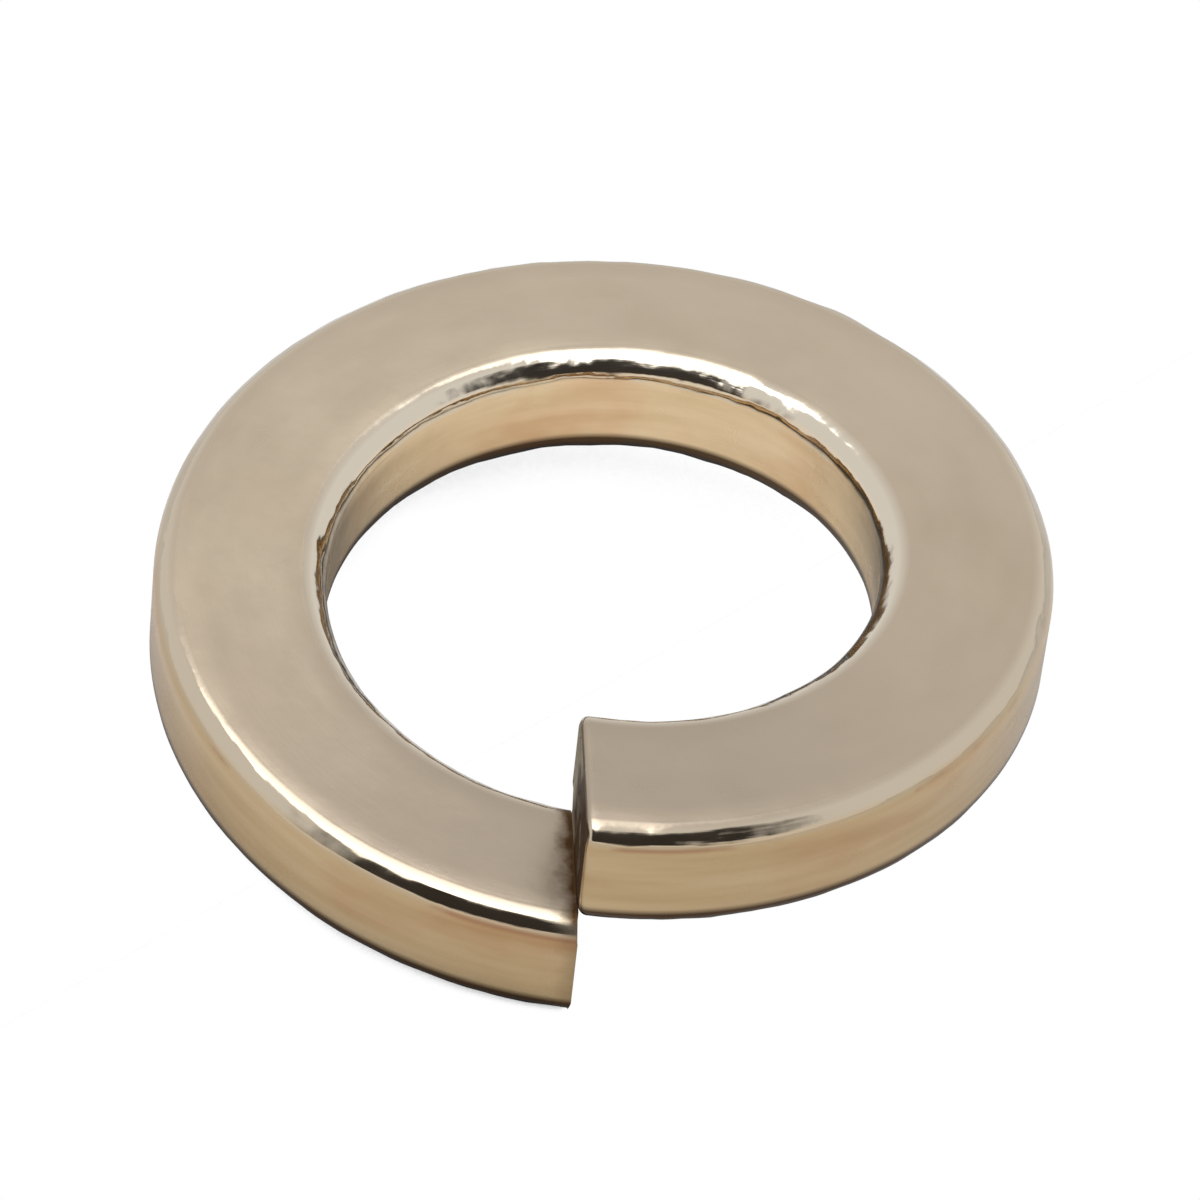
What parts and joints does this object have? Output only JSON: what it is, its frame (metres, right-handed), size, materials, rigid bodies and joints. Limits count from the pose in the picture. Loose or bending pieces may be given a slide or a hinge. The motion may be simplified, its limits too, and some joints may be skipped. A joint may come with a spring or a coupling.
{
  "type": "spring lock washer",
  "caption": "Helical spring lock washer: one turn of rounded rectangular wire, split at one place with its ends apart in height.",
  "frame": {"origin": "on the washer's axis, level with the underside of its low end, on which it lies", "axes": "+Z along the washer's axis towards the high end, -Y towards the split"},
  "size_m": [0.0269, 0.0268, 0.0081],
  "materials": {
    "plated_spring_steel": "bright plate with a warm tone, tumbled edges"
  },
  "bodies": {
    "root": {"lock_washer": "plated_spring_steel"}
  },
  "joints": []
}
